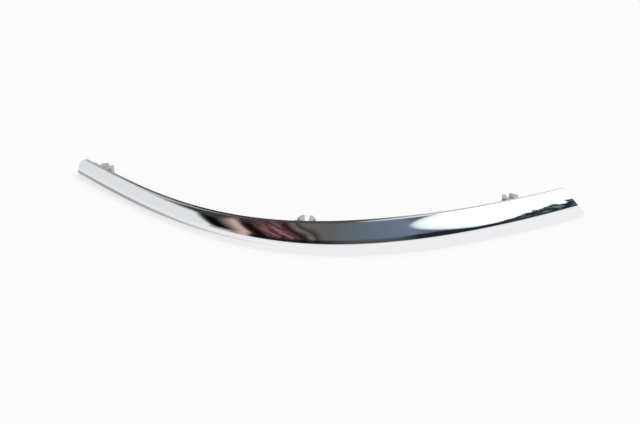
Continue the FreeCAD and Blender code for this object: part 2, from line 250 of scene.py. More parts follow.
class Tray:
    """The strip laid straight: a face, rolled edges, a wall all round and the same again inside."""

    LONG, ARC, SIDE = 360, 14, 18
    FACE, ROLL = 20, 8
    FAN = 14.0 * MM
    INNER_ROLL = 0.5 * MM

    def __init__(self, strip, edge):
        self.strip = strip
        self.edge = edge
        self.inner_end = edge.length + strip.inner_reach
        self.outer_end = -strip.outer_reach

    def outline(self, inset):
        """Edge of the strip seen from the front: bottom, tall end, top and narrow end."""
        strip = self.strip
        rake, quarter = strip.inner_rake, math.pi / 2
        near, far = strip.outer_corner - inset, strip.inner_corner - inset
        low = inset
        top_left, top_right = strip.outer_height - inset, strip.inner_height - inset
        left = self.outer_end + inset
        slide = self.inner_end - inset / math.cos(rake)
        foot = slide - low * math.tan(rake) - far / math.tan((quarter - rake) / 2)
        head = slide - top_right * math.tan(rake) - far / math.tan((quarter + rake) / 2)
        spine = section_at(strip, strip.inner_height)
        spine_level = face_point(spine, spine.nose_angle, 0.0)[1]
        fan_right = self.inner_end - spine_level * math.tan(rake) - self.FAN
        fan_left = self.outer_end + self.FAN
        edges = []

        def line(start, end, normal, count, rounding, fan_start, fan_end):
            for i in range(count):
                share = i / count
                edges.append(Edge(mixed(start[0], end[0], share), mixed(start[1], end[1], share),
                                  normal[0], normal[1], rounding, mixed(fan_start, fan_end, share)))

        def arc(centre, radius, first, last, rounds, fan):
            for i in range(self.ARC):
                share = i / self.ARC
                turn = mixed(first, last, share)
                across, up = math.cos(turn), math.sin(turn)
                rounding = mixed(rounds[0], rounds[1], smooth(share))
                edges.append(Edge(centre[0] + radius * across, centre[1] + radius * up, across, up,
                                  rounding, fan))

        edge_round, end_round = strip.edge_radius, strip.end_round
        slope = (math.cos(rake), math.sin(rake))
        line((left + near, low), (foot, low), (0, -1), self.LONG, edge_round, fan_left, fan_right)
        arc((foot, low + far), far, -quarter, rake, (edge_round, end_round), fan_right)
        line((foot + far * slope[0], low + far + far * slope[1]),
             (head + far * slope[0], top_right - far + far * slope[1]),
             slope, self.SIDE, end_round, fan_right, fan_right)
        arc((head, top_right - far), far, rake, quarter, (end_round, edge_round), fan_right)
        first = len(edges)
        line((head, 0), (left + near, 0), (0, 1), self.LONG, edge_round, fan_right, fan_left)
        for i in range(first, len(edges)):
            one = edges[i]
            edges[i] = one._replace(level=height_at(strip, self.edge, one.along) - inset)
        arc((left + near, top_left - near), near, quarter, 2 * quarter, (edge_round, end_round), fan_left)
        line((left, top_left - near), (left, low + near), (-1, 0), self.SIDE, end_round, fan_left, fan_left)
        arc((left + near, low + near), near, 2 * quarter, 3 * quarter, (end_round, edge_round), fan_left)
        return edges

    def section(self, along):
        return section_at(self.strip, height_at(self.strip, self.edge, along))

    def ribbon(self, one, inset, fixed_round):
        """Points from the middle of the face out over the rolled edge to the open back."""
        section = self.section(one.along)
        lean = lean_at(section, one.level, inset)
        rounding = fixed_round or one.rounding
        corner = Vector((one.along, face_point(section, lean, inset)[0], one.level))
        outward = Vector((one.out_along, 0.0, one.out_level))
        face = Vector((0.0, -math.cos(lean), math.sin(lean)))
        centre = corner - (outward + face) * (rounding / (1.0 + outward.dot(face)))
        foot = centre + face * rounding
        lean_foot = lean_at(self.section(foot.x), foot.z, inset)
        points = []
        for i in range(self.FACE + 1):
            share = i / self.FACE
            along = mixed(one.fan_along, foot.x, share)
            here = self.section(along)
            depth, level = face_point(here, mixed(here.nose_angle, lean_foot, share), inset)
            points.append(Vector((along, depth, level)))
        for i in range(1, self.ROLL + 1):
            points.append(centre + face.slerp(outward, i / self.ROLL) * rounding)
        points.append(Vector((one.along, section.back_depth, one.level)))
        return points

    def build(self):
        wall = self.strip.wall
        outside = [self.ribbon(one, 0.0, 0.0) for one in self.outline(0.0)]
        inside = [self.ribbon(one, wall, self.INNER_ROLL) for one in self.outline(wall)]
        made = bmesh.new()
        sharp = {len(outside[0]) - 1, len(outside[0])}
        rings = []
        for front, back in zip(outside, inside):
            rings.append([made.verts.new(point) for point in front + back[::-1]])
        for here, there in zip(rings, rings[1:] + rings[:1]):
            for i in range(len(here) - 1):
                made.faces.new((here[i], there[i], there[i + 1], here[i + 1]))
        shows = made.faces.layers.int.new("shows")
        made.faces.ensure_lookup_table()
        per_ring = len(outside[0]) + len(inside[0]) - 1
        for i, face in enumerate(made.faces):
            face.smooth = True
            face[shows] = 1 if i % per_ring < len(outside[0]) - 1 else 0
        for here, there in zip(rings, rings[1:] + rings[:1]):
            for i in sharp:
                made.edges.get((here[i], there[i])).smooth = False
        bmesh.ops.remove_doubles(made, verts=made.verts, dist=MERGE)
        bmesh.ops.dissolve_degenerate(made, edges=made.edges, dist=1e-7)
        bmesh.ops.recalc_face_normals(made, faces=made.faces)
        return made


def put(name, made):
    """Gives a mesh that was just built its own piece."""
    mesh = bpy.data.meshes.new(name)
    made.to_mesh(mesh)
    made.free()
    piece = bpy.data.objects.new(name, mesh)
    bpy.context.scene.collection.objects.link(piece)
    return piece


class Field:
    """A number that flows through a node tree, so that a formula reads as one."""

    def __init__(self, socket):
        self.socket = socket
        self.tree = socket.id_data

    def math(self, operation, *others):
        made = node(self.tree, "ShaderNodeMath", {"operation": operation})
        for socket, value in zip(made.inputs, (self,) + others):
            feed(value, socket)
        return Field(made.outputs[0])

    def __add__(self, other):
        return self.math("ADD", other)

    def __sub__(self, other):
        return self.math("SUBTRACT", other)

    def __mul__(self, other):
        return self.math("MULTIPLY", other)

    def __truediv__(self, other):
        return self.math("DIVIDE", other)


def feed(value, socket):
    if isinstance(value, Field):
        value.tree.links.new(value.socket, socket)
    else:
        socket.default_value = value


def node(tree, kind, settings=None, **inputs):
    """Adds a node. Inputs are named as on the node, with _ for a space."""
    made = tree.nodes.new(kind)
    for name, value in (settings or {}).items():
        setattr(made, name, value)
    fill(made, inputs)
    return made


def fill(made, inputs):
    """Gives some of a node's inputs their values or links."""
    for name, value in inputs.items():
        feed(value, made.inputs[name.replace("_", " ")])


def out(made, name):
    return Field(made.outputs[name])


def geometry_tree(name, inputs):
    """An empty geometry tree with named inputs. Returns it with its input node and its output node."""
    tree = bpy.data.node_groups.new(name, "GeometryNodeTree")
    tree.interface.new_socket("Geometry", in_out="OUTPUT", socket_type="NodeSocketGeometry")
    tree.interface.new_socket("Geometry", in_out="INPUT", socket_type="NodeSocketGeometry")
    for label, kind in inputs:
        tree.interface.new_socket(label, in_out="INPUT", socket_type=kind)
    return tree, tree.nodes.new("NodeGroupInput"), tree.nodes.new("NodeGroupOutput")


POLES = ("Start", "Start Handle", "End Handle", "End")
EDGE_INPUTS = [(pole, "NodeSocketVector") for pole in POLES] + [("Lead", "NodeSocketFloat")]


def bending_tree():
    """Bends what lies straight along X so that it follows the lower edge in plan."""
    tree, given, result = geometry_tree("Follow the lower edge", EDGE_INPUTS)
    curve = node(tree, "GeometryNodeCurvePrimitiveBezierSegment", {"mode": "POSITION"}, Resolution=3000)
    for pole in POLES:
        feed(out(given, pole), curve.inputs[pole])
    place = node(tree, "GeometryNodeInputPosition")
    parts = node(tree, "ShaderNodeSeparateXYZ", Vector=out(place, "Position"))
    along = out(parts, "X") + out(given, "Lead")
    sample = node(tree, "GeometryNodeSampleCurve", {"mode": "LENGTH"}, Curves=out(curve, "Curve"),
                  Length=along)
    heading = node(tree, "ShaderNodeSeparateXYZ", Vector=out(sample, "Tangent"))
    base = node(tree, "ShaderNodeSeparateXYZ", Vector=out(sample, "Position"))
    depth = out(parts, "Y")
    bent = node(tree, "ShaderNodeCombineXYZ",
                X=out(base, "X") - out(heading, "Y") * depth,
                Y=out(base, "Y") + out(heading, "X") * depth,
                Z=out(parts, "Z"))
    moved = node(tree, "GeometryNodeSetPosition", Geometry=out(given, "Geometry"),
                 Position=out(bent, "Vector"))
    tree.links.new(moved.outputs["Geometry"], result.inputs["Geometry"])
    return tree


def bend_group(bending, given, geometry):
    """The bending group inside another tree, fed from that tree's own inputs."""
    group = node(given.id_data, "GeometryNodeGroup", {"node_tree": bending}, Geometry=geometry)
    for label, _ in EDGE_INPUTS:
        feed(out(given, label), group.inputs[label])
    return out(group, "Geometry")


def strip_tree(bending):
    """Bends the straight strip and gives its face and its back their finishes."""
    inputs = EDGE_INPUTS + [("Face", "NodeSocketMaterial"), ("Back", "NodeSocketMaterial")]
    tree, given, result = geometry_tree("Plated strip", inputs)
    bent = bend_group(bending, given, out(given, "Geometry"))
    real = node(tree, "GeometryNodeRealizeInstances", Geometry=bent)
    back = node(tree, "GeometryNodeSetMaterial", Geometry=out(real, "Geometry"), Material=out(given, "Back"))
    shows = node(tree, "GeometryNodeInputNamedAttribute", {"data_type": "INT"}, Name="shows")
    face = node(tree, "GeometryNodeSetMaterial", Geometry=out(back, "Geometry"),
                Selection=out(shows, "Attribute"), Material=out(given, "Face"))
    tree.links.new(face.outputs["Geometry"], result.inputs["Geometry"])
    return tree


SECTION_INPUTS = ("Length", "Outer Height", "Inner Height", "Outer Taper", "Inner Taper", "Edge Radius",
                  "Return Depth", "Undercut", "Nose Angle", "Crown Angle", "Crown To Nose")


def section_values(strip, edge):
    numbers = (edge.length, strip.outer_height, strip.inner_height, strip.taper_from_outer,
               strip.taper_from_inner, strip.edge_radius, strip.return_depth, strip.undercut,
               strip.nose_angle, strip.crown_angle, strip.crown_to_nose)
    return dict(zip(SECTION_INPUTS, numbers))


class SectionField:
    """The section's rule, worked out inside a node tree for every point of a mesh."""

    def __init__(self, given, along, inset):
        length, outer, inner, outer_taper, inner_taper, roll, back, under, nose, crown, wide = [
            out(given, name) for name in SECTION_INPUTS]
        run = length - outer_taper - inner_taper
        share = ((along - outer_taper) / run).math("MAXIMUM", 0.0).math("MINIMUM", 1.0)
        self.height = outer + (inner - outer) * share * share * (share * -2.0 + 3.0)
        sin_under, sin_nose, sin_crown = [one.math("SINE") for one in (under, nose, crown)]
        cos_under, cos_nose, cos_crown = [one.math("COSINE") for one in (under, nose, crown)]
        rolls = roll * (sin_under * -1.0 + 2.0 - sin_crown)
        rise = sin_nose + sin_under + wide * (sin_crown - sin_nose)
        radius = (self.height - rolls) / rise
        wider = radius * wide
        self.nose_depth = radius * cos_under
        self.nose_level = roll * (sin_under * -1.0 + 1.0) + radius * sin_under
        self.crown_depth = self.nose_depth + (wider - radius) * cos_nose
        self.crown_level = self.nose_level - (wider - radius) * sin_nose
        self.nose_radius = radius - inset
        self.crown_radius = wider - inset
        self.junction = self.nose_level + self.nose_radius * sin_nose
        self.back_depth = self.crown_depth + (roll - wider) * cos_crown + back

    def face_depth(self, level):
        """Depth of the face at a height."""
        nose = self.nose_depth - chord_half(self.nose_radius, level - self.nose_level)
        crown = self.crown_depth - chord_half(self.crown_radius, level - self.crown_level)
        upper = level.math("GREATER_THAN", self.junction)
        return nose + (crown - nose) * upper


def chord_half(radius, offset):
    return (radius * radius - offset * offset).math("MAXIMUM", 0.0).math("SQRT")


def repeat_tree(name, bending, shape):
    """Repeats the incoming mesh along the strip, less where a station is taken, and shapes each copy."""
    numbers = SECTION_INPUTS + ("First", "Pitch", "Room", "Inset", "Setback")
    numbers += tuple("Taken " + str(i + 1) for i in range(STATIONS))
    inputs = EDGE_INPUTS + [(label, "NodeSocketFloat") for label in numbers]
    inputs += [("Count", "NodeSocketInt"), ("Finish", "NodeSocketMaterial")]
    tree, given, result = geometry_tree(name, inputs)
    first = node(tree, "ShaderNodeCombineXYZ", X=out(given, "First"))
    step = node(tree, "ShaderNodeCombineXYZ", X=out(given, "Pitch"))
    row = node(tree, "GeometryNodeMeshLine", {"mode": "OFFSET"}, Count=out(given, "Count"),
               Start_Location=out(first, "Vector"), Offset=out(step, "Vector"))
    spot = node(tree, "ShaderNodeSeparateXYZ",
                Vector=out(node(tree, "GeometryNodeInputPosition"), "Position"))
    nearest = None
    for i in range(STATIONS):
        away = (out(spot, "X") - out(given, "Taken " + str(i + 1))).math("ABSOLUTE")
        nearest = away if nearest is None else nearest.math("MINIMUM", away)
    crowded = nearest.math("LESS_THAN", out(given, "Room"))
    free = node(tree, "GeometryNodeDeleteGeometry", {"domain": "POINT"}, Geometry=out(row, "Mesh"),
                Selection=crowded)
    copies = node(tree, "GeometryNodeInstanceOnPoints", Points=out(free, "Geometry"),
                  Instance=out(given, "Geometry"))
    real = node(tree, "GeometryNodeRealizeInstances", Geometry=out(copies, "Instances"))
    place = node(tree, "ShaderNodeSeparateXYZ",
                 Vector=out(node(tree, "GeometryNodeInputPosition"), "Position"))
    along, depth, level = [out(place, axis) for axis in "XYZ"]
    section = SectionField(given, along, out(given, "Inset"))
    depth, level = shape(section, depth, level, out(given, "Inset"), out(given, "Setback"))
    moved = node(tree, "GeometryNodeSetPosition", Geometry=out(real, "Geometry"),
                 Position=out(node(tree, "ShaderNodeCombineXYZ", X=along, Y=depth, Z=level), "Vector"))
    bent = bend_group(bending, given, out(moved, "Geometry"))
    whole = node(tree, "GeometryNodeRealizeInstances", Geometry=bent)
    painted = node(tree, "GeometryNodeSetMaterial", Geometry=out(whole, "Geometry"),
                   Material=out(given, "Finish"))
    tree.links.new(painted.outputs["Geometry"], result.inputs["Geometry"])
    return tree


def rib_shape(section, depth, level, inset, setback):
    """Stretches a unit plate from the face to the open back and from the lower to the upper return."""
    level = inset + (section.height - inset * 2.0) * level
    front = section.face_depth(level)
    return front + (section.back_depth - setback - front) * depth, level


def landing_shape(section, depth, level, inset, setback):
    """Sets a small round landing on the inside of the face, across the middle of its height."""
    level = section.height * LANDING_LEVEL + level
    return section.face_depth(level) - inset * 0.5 + depth, level


def keep_result(piece, modifier):
    """Makes what a modifier gives the piece's plain mesh."""
    graph = bpy.context.evaluated_depsgraph_get()
    result = bpy.data.meshes.new_from_object(piece.evaluated_get(graph), depsgraph=graph)
    piece.modifiers.remove(modifier)
    piece.data = result


def run_tree(piece, tree, values):
    """Runs a geometry tree on a piece and keeps the result as its plain mesh."""
    modifier = piece.modifiers.new(tree.name, "NODES")
    modifier.node_group = tree
    for item in tree.interface.items_tree:
        if item.item_type == "SOCKET" and item.in_out == "INPUT" and item.name in values:
            modifier[item.identifier] = values[item.name]
    keep_result(piece, modifier)


def edge_values(edge):
    values = {label: pole[:] for label, pole in zip(POLES, edge.long_poles)}
    values["Lead"] = edge.lead
    return values


def taken_stations(back, edge):
    """Distances along the strip that the clips and the pegs take."""
    return (back.clip_from_outer, edge.length / 2, edge.length - back.clip_from_inner,
            back.peg_from_end, edge.length - back.peg_from_end)


def unit_plate(thickness, rows):
    """Closed plate one unit deep and one unit high, in rows that can take up a curve."""
    made = bmesh.new()
    rings = []
    for i in range(rows + 1):
        level = i / rows
        corners = ((-thickness / 2, 0), (thickness / 2, 0), (thickness / 2, 1), (-thickness / 2, 1))
        rings.append([made.verts.new((x, y, level)) for x, y in corners])
    for low, high in zip(rings, rings[1:]):
        for i in range(4):
            made.faces.new((low[i], low[(i + 1) % 4], high[(i + 1) % 4], high[i]))
    made.faces.new(rings[0][::-1])
    made.faces.new(rings[-1])
    bmesh.ops.recalc_face_normals(made, faces=made.faces)
    return made


def lathe(made, profile, centre, segments):
    """Closed turned shape about an axis that runs back, from (radius, depth) pairs."""
    rings = []
    for radius, depth in profile:
        ring = []
        for i in range(segments):
            turn = 2.0 * math.pi * i / segments
            spoke = Vector((radius * math.cos(turn), depth, radius * math.sin(turn)))
            ring.append(made.verts.new(centre + spoke))
        rings.append(ring)
    faces = []
    for low, high in zip(rings, rings[1:]):
        for i in range(segments):
            j = (i + 1) % segments
            faces.append(made.faces.new((low[i], low[j], high[j], high[i])))
    for ring, depth in ((rings[0], profile[0][1]), (rings[-1], profile[-1][1])):
        pole = made.verts.new(centre + Vector((0, depth, 0)))
        for i in range(segments):
            faces.append(made.faces.new((ring[i], ring[(i + 1) % segments], pole)))
    bmesh.ops.recalc_face_normals(made, faces=faces)
    for face in faces:
        face.smooth = True


def rounded(corner, before, after, radius, steps=4):
    """Points of a profile's rounded corner."""
    corner, before, after = Vector(corner), Vector(before), Vector(after)
    first, second = (before - corner).normalized(), (after - corner).normalized()
    half = first.angle(second) / 2
    centre = corner + (first + second).normalized() * (radius / math.sin(half))
    run = radius / math.tan(half)
    start, stop = (corner + first * run - centre).normalized(), (corner + second * run - centre).normalized()
    return [tuple(centre + start.slerp(stop, i / steps) * radius) for i in range(steps + 1)]


def extrude_outline(made, outline, place, thickness):
    """Closed slab from a flat outline. The place function gives a point for an outline's pair and a side."""
    near = [made.verts.new(place(a, b, -thickness / 2)) for a, b in outline]
    far = [made.verts.new(place(a, b, thickness / 2)) for a, b in outline]
    faces = [made.faces.new(near), made.faces.new(far[::-1])]
    count = len(outline)
    for i in range(count):
        j = (i + 1) % count
        faces.append(made.faces.new((near[i], far[i], far[j], near[j])))
    bmesh.ops.recalc_face_normals(made, faces=faces)


def web_outline(section, inset, back, notch=None):
    """Outline of a wall across the channel, as (depth, height) pairs, with a notch in its back edge."""
    low, high = inset, section.height - inset
    outline = []
    for i in range(WEB_ROWS + 1):
        level = mixed(low, high, i / WEB_ROWS)
        outline.append((face_point(section, lean_at(section, level, inset), inset)[0], level))
    outline.append((back, high))
    if notch:
        outline += [(back, notch[2]), (notch[0], notch[2]), (notch[0], notch[1]), (back, notch[1])]
    outline.append((back, low))
    return outline


def clip_housing(made, strip, edge, back, along, drop):
    """Two side walls and the slotted plate that a clip slides into from the tall end's side."""
    section = section_at(strip, height_at(strip, edge, along))
    level = section.height - drop
    plate_back = section.back_depth + back.plate_proud
    plate_front = plate_back - back.plate_thickness
    low, high = level - back.channel_half, level + back.channel_half
    inset = strip.wall * (1.0 - BITE)
    for side in (-1, 1):
        notch = (plate_front - back.channel_depth, low, high) if side > 0 else None
        outline = web_outline(section, inset, section.back_depth, notch)
        middle = along + side * (back.housing_half - back.housing_wall / 2)
        extrude_outline(made, outline, lambda depth, z, x: Vector((middle + x, depth, z)), back.housing_wall)
    half, slot = back.housing_half, back.slot_half
    bottom, top = strip.wall / 2, section.height - strip.wall / 2
    outline = [(half, level - slot)]
    for i in range(SLOT_STEPS + 1):
        turn = -math.pi / 2 - math.pi * i / SLOT_STEPS
        outline.append((slot * math.cos(turn), level + slot * math.sin(turn)))
    outline += [(half, level + slot), (half, top), (-half, top), (-half, bottom), (half, bottom)]
    middle = (plate_front + plate_back) / 2
    extrude_outline(made, outline, lambda x, z, depth: Vector((along + x, middle + depth, z)),
                    back.plate_thickness)


def locating_peg(made, strip, edge, back, along):
    """Round peg on its boss, with a rounded root and a chamfered tip. The boss starts inside the skin."""
    section = section_at(strip, height_at(strip, edge, along))

    def inside_skin(level):
        return face_point(section, lean_at(section, level, strip.wall), strip.wall)[0] - strip.wall * BITE

    front = inside_skin(back.peg_height)
    rim, tip = section.back_depth, section.back_depth + back.peg_length
    boss, peg, chamfer = back.peg_boss, back.peg_radius, back.peg_chamfer
    profile = [(boss, front)] + rounded((boss, rim), (boss, front), (peg, rim), BOSS_RIM)
    profile += rounded((peg, rim), (boss, rim), (peg, tip), PEG_ROOT)
    profile += rounded((peg, tip - chamfer), (peg, rim), (peg - chamfer, tip), PEG_SHOULDER, 2)
    profile += rounded((peg - chamfer, tip), (peg, tip - chamfer), (0, tip), PEG_TIP, 2)
    lathe(made, profile, Vector((along, 0, back.peg_height)), PEG_SEGMENTS)
    for vertex in made.verts:
        if abs(vertex.co.y - front) < MERGE / 10:
            vertex.co.y = inside_skin(vertex.co.z)


def soften(piece, width, segments=2, limit=40.0):
    """Rounds a piece's sharp edges and keeps the result."""
    bevel = piece.modifiers.new("Rounded edges", "BEVEL")
    bevel.width = width
    bevel.segments = segments
    bevel.limit_method = "ANGLE"
    bevel.angle_limit = math.radians(limit)
    keep_result(piece, bevel)


def join(pieces, name):
    """One piece out of several, at the origin."""
    with bpy.context.temp_override(active_object=pieces[0], selected_editable_objects=pieces):
        bpy.ops.object.join()
    pieces[0].name = name
    pieces[0].data.name = name
    return pieces[0]


def shader_material(name, **inputs):
    """A material and its shader, with some of the shader's inputs."""
    material = bpy.data.materials.new(name)
    material.use_nodes = True
    shader = material.node_tree.nodes["Principled BSDF"]
    fill(shader, inputs)
    return material, shader


def object_noise(tree, scale, detail):
    place = out(node(tree, "ShaderNodeTexCoord"), "Object")
    return out(node(tree, "ShaderNodeTexNoise", Vector=place, Scale=scale, Detail=detail), "Fac")


def patchy(shader, scale, detail, low, high):
    """Roughness that changes with noise between two values."""
    noise = object_noise(shader.id_data, scale, detail)
    spread = node(noise.tree, "ShaderNodeMapRange", Value=noise, To_Min=low, To_Max=high)
    feed(out(spread, "Result"), shader.inputs["Roughness"])


def grained(shader, scale, detail, strength, depth):
    """Fine relief from noise."""
    noise = object_noise(shader.id_data, scale, detail)
    bump = node(noise.tree, "ShaderNodeBump", Height=noise, Strength=strength, Distance=depth)
    feed(out(bump, "Normal"), shader.inputs["Normal"])


def chrome_material(colours):
    """Bright plating: a mirror with the faint haze and ripple of a plated moulding."""
    material, shader = shader_material("Bright chrome plating", Metallic=1.0,
                                       Base_Color=(*colours.chrome, 1.0))
    patchy(shader, 14.0, 3.0, 0.01, 0.04)
    grained(shader, 40.0, 1.0, 0.05, 0.2 * MM)
    return material


def back_material(colours):
    """Thin, dull plating that reaches the inside of the channel."""
    material, shader = shader_material("Dull back plating", Metallic=0.85, Base_Color=(*colours.back, 1.0))
    patchy(shader, 30.0, 4.0, 0.28, 0.55)
    grained(shader, 900.0, 2.0, 0.15, 0.1 * MM)
    return material


def nylon_material(colours):
    """Natural nylon: waxy grey with a fine moulded grain."""
    material, shader = shader_material("Natural grey nylon", Roughness=0.42, Subsurface_Weight=0.12,
                                       Subsurface_Scale=1.5 * MM)
    tone = object_noise(shader.id_data, 120.0, 2.0)
    darker, paler = [[value * share for value in colours.nylon] for share in (0.92, 1.06)]
    feed(layered(tone, darker, paler), shader.inputs["Base Color"])
    grained(shader, 1500.0, 2.0, 0.2, 0.05 * MM)
    return material


# Share of the floor's look that is its own glow, to the camera and in the chrome
GLOW_SEEN, GLOW_MIRRORED = 0.72, 0.9
# Painted shadow: a grey band on the floor before the outer end, standing in for the strip's contact shadow
# there, mirrored in the foot of that end and never seen by the camera
BAND_SLOPE, BAND_OFFSET, BAND_STRENGTH = 0.495, 0.148, 0.92
PAINTED_SHADOW_GREY = (0.3, 0.3, 0.3)
WHITE = (1.0, 1.0, 1.0)


def floor_material(colours):
    """Pale floor, lightened to the camera so that only a faint shadow is left, and with painted light and
    shade that only the chrome sees.
    """
    material, shader = shader_material("Pale floor", Base_Color=(*colours.floor, 1.0), Roughness=0.9,
                                       Specular_IOR_Level=0.0)
    tree = material.node_tree
    path = node(tree, "ShaderNodeLightPath")
    mirrored = mirroring(path)
    spot = node(tree, "ShaderNodeSeparateXYZ", Vector=out(node(tree, "ShaderNodeTexCoord"), "Object"))
    right, back = out(spot, "X"), out(spot, "Y")
    # Painted contact shadow on the floor before the outer end, seen only in the chrome and fading out
    # towards the right
    band = between(right * BAND_SLOPE + back + BAND_OFFSET, (-0.055, -0.010), (0.012, 0.032))
    band = band * (smoothed(right, -0.30, 0.0) * -BAND_STRENGTH + BAND_STRENGTH)
    # Painted light and shade on the floor for the chrome: the ramp by position, with the painted shadow band
    # over it
    painted_floor_shade = layered(band, band_ramp(right * 100.0, MIRRORED_FLOOR_SHADE), PAINTED_SHADOW_GREY)
    glow = node(tree, "ShaderNodeEmission", Color=layered(mirrored, WHITE, painted_floor_shade), Strength=1.0)
    shown = out(path, "Is Camera Ray") * GLOW_SEEN + mirrored * GLOW_MIRRORED
    lighter = shaders_mixed(shown, shader, glow)
    tree.links.new(lighter.outputs[0], tree.nodes["Material Output"].inputs["Surface"])
    return material


# Painted light and shade of the floor as only the chrome mirrors it, by centimetres to the right: darker at
# the far left, near white with a faint pink further right
MIRRORED_FLOOR_SHADE = (
    (-36, (0.88, 0.885, 0.895)), (-12, (1.0, 0.98, 0.99)), (6, (1.0, 0.975, 0.985)),
    (20, (1.0, 0.985, 1.0)), (36, (1.0, 0.99, 1.0)))
# Upright bands of the studio that the chrome mirrors, by azimuth in degrees to the right of the camera
ROOM_BANDS = (
    (-105, (0.82, 0.83, 0.84)), (-69, (0.84, 0.85, 0.86)), (-66, (0.05, 0.05, 0.05)),
    (-64, (0.003, 0.003, 0.003)), (-60, (0.004, 0.004, 0.004)), (-57.5, (0.10, 0.085, 0.085)),
    (-54, (0.30, 0.24, 0.23)), (-50.5, (0.66, 0.45, 0.41)), (-48.5, (0.50, 0.32, 0.29)),
    (-46.5, (0.03, 0.02, 0.018)), (-43.5, (0.004, 0.002, 0.002)), (-41, (0.02, 0.007, 0.007)),
    (-38.5, (0.17, 0.07, 0.08)), (-34.5, (0.27, 0.12, 0.13)), (-32, (0.12, 0.04, 0.05)),
    (-29, (0.32, 0.15, 0.165)), (-25.5, (0.19, 0.085, 0.095)), (-22.5, (0.06, 0.03, 0.03)),
    (-20, (0.010, 0.006, 0.006)), (-17.5, (0.13, 0.105, 0.095)), (-15.5, (0.20, 0.17, 0.155)),
    (-13, (0.05, 0.042, 0.038)), (-9.5, (0.13, 0.125, 0.12)), (0, (0.12, 0.15, 0.175)),
    (12, (0.135, 0.175, 0.21)), (20, (0.155, 0.19, 0.265)), (27, (0.17, 0.215, 0.28)),
    (34, (0.10, 0.13, 0.15)), (60, (0.08, 0.09, 0.10)), (75, (0.9, 0.9, 0.9)), (105, (0.9, 0.9, 0.9)))
# The same behind the strip, over its rolled upper edge, by azimuth on either side of straight back
BACK_BANDS = (
    (-40, (0.85, 0.85, 0.86)), (-17, (0.80, 0.80, 0.81)), (-9, (0.45, 0.45, 0.46)),
    (-3, (0.16, 0.165, 0.17)), (4, (0.08, 0.08, 0.085)), (12, (0.03, 0.03, 0.03)),
    (14.3, (0.10, 0.10, 0.10)), (16.8, (0.62, 0.62, 0.63)), (40, (0.80, 0.80, 0.81)))


def smoothed(value, low, high):
    """0 below a value, 1 above another and an even curve between them."""
    curve = node(value.tree, "ShaderNodeMapRange", {"interpolation_type": "SMOOTHSTEP"}, Value=value,
                 From_Min=low, From_Max=high)
    return out(curve, "Result")


def below(value, low, high):
    """1 below a value, 0 above another and an even curve between them."""
    return smoothed(value, low, high) * -1.0 + 1.0


def between(value, rise, fall):
    """1 between two soft edges. Each edge is where it starts and where it ends."""
    return smoothed(value, *rise) * below(value, *fall)


def mirroring(path):
    """1 for what sees the studio through metal or glass."""
    return out(path, "Is Glossy Ray").math("MAXIMUM", out(path, "Is Transmission Ray"))


def mottling(across, up, detail, roughness):
    """Flat noise, by two measures that set how far it is stretched."""
    place = out(node(across.tree, "ShaderNodeCombineXYZ", X=across, Y=up), "Vector")
    noise = node(across.tree, "ShaderNodeTexNoise", {"noise_dimensions": "2D"}, Vector=place, Scale=1.0,
                 Detail=detail, Roughness=roughness)
    return out(noise, "Fac")


def layered(share, under, over):
    """One colour over another."""
    mix = node(share.tree, "ShaderNodeMix", {"data_type": "RGBA"})
    feed(share, mix.inputs[0])
    for value, socket in ((under, mix.inputs[6]), (over, mix.inputs[7])):
        feed(value if isinstance(value, Field) else (*value, 1.0), socket)
    return Field(mix.outputs[2])


def shaders_mixed(share, under, over):
    """One shader over another."""
    mix = node(share.tree, "ShaderNodeMixShader", Fac=share)
    for shader, socket in ((under, mix.inputs[1]), (over, mix.inputs[2])):
        share.tree.links.new(shader.outputs[0], socket)
    return mix


def band_ramp(azimuth, bands):
    """Colours by azimuth, spread evenly between the first and the last band."""
    first, last = bands[0][0], bands[-1][0]
    ramp = node(azimuth.tree, "ShaderNodeValToRGB", Fac=(azimuth - first) / (last - first))
    stops = ramp.color_ramp.elements
    while len(stops) < len(bands):
        stops.new(0.5)
    for stop, (degrees, value) in zip(stops, bands):
        stop.position = (degrees - first) / (last - first)
        stop.color = (*value, 1.0)
    return out(ramp, "Color")


# Elevation at which the leaning left half of the room is straight, and degrees across per degree over it
LEAN_LEVEL, LEAN = 20.0, 0.6
# The wedge's edge: its azimuth and elevation where it reaches furthest left, its bend, and more bend above
WEDGE_AZIMUTH, WEDGE_ELEVATION, WEDGE_BEND, WEDGE_BEND_ABOVE = 26.8, 29.0, 0.033, 0.015
# The skyline's least height, what the thin line at its left adds, and its jags
SKYLINE_HEIGHT, SKYLINE_LINE, SKYLINE_JAGS = 7.6, 4.0, 15.0


def leaning(azimuth, elevation):
    """Azimuth in a room whose left half leans, as the chrome shows it."""
    left = between(azimuth, (-110.0, -85.0), (-24.0, -4.0))
    lowest = smoothed(azimuth, -56.0, -48.0) * 6.0 + 6.0
    return azimuth + left * ((elevation.math("MAXIMUM", lowest) - LEAN_LEVEL) * LEAN)


def dark_streaks(slanted, elevation):
    """Streaks down the red stretch."""
    noise = mottling(slanted * 0.30, elevation * 0.11, 4.0, 0.6)
    share = between(slanted, (-44.0, -38.0), (-22.0, -10.0)) * smoothed(noise, 0.44, 0.62)
    return share * 0.72, (0.035, 0.016, 0.019)


def arch_foot(slanted, elevation):
    """Pale foot of the dark arch."""
    share = below(elevation, 4.0, 8.5) * between(slanted, (-69.0, -65.0), (-58.0, -53.0))
    return share * 0.9, (0.52, 0.42, 0.40)


def dark_top(slanted, elevation):
    """Dark stretch high over the left half."""
    share = smoothed(elevation, 28.0, 38.0) * between(slanted, (-58.0, -54.0), (-34.0, -24.0))
    return share * 0.75, (0.06, 0.05, 0.048)


def dark_foot(azimuth, slanted, elevation):
    """Dark stretch along the foot of the middle, red at the left and slate at the right."""
    share = below(elevation, 6.5, 13.5) * smoothed(slanted, -46.0, -40.0)
    tint = layered(smoothed(azimuth, -12.0, 8.0), (0.012, 0.005, 0.006), (0.07, 0.078, 0.092))
    return share * 0.92, tint


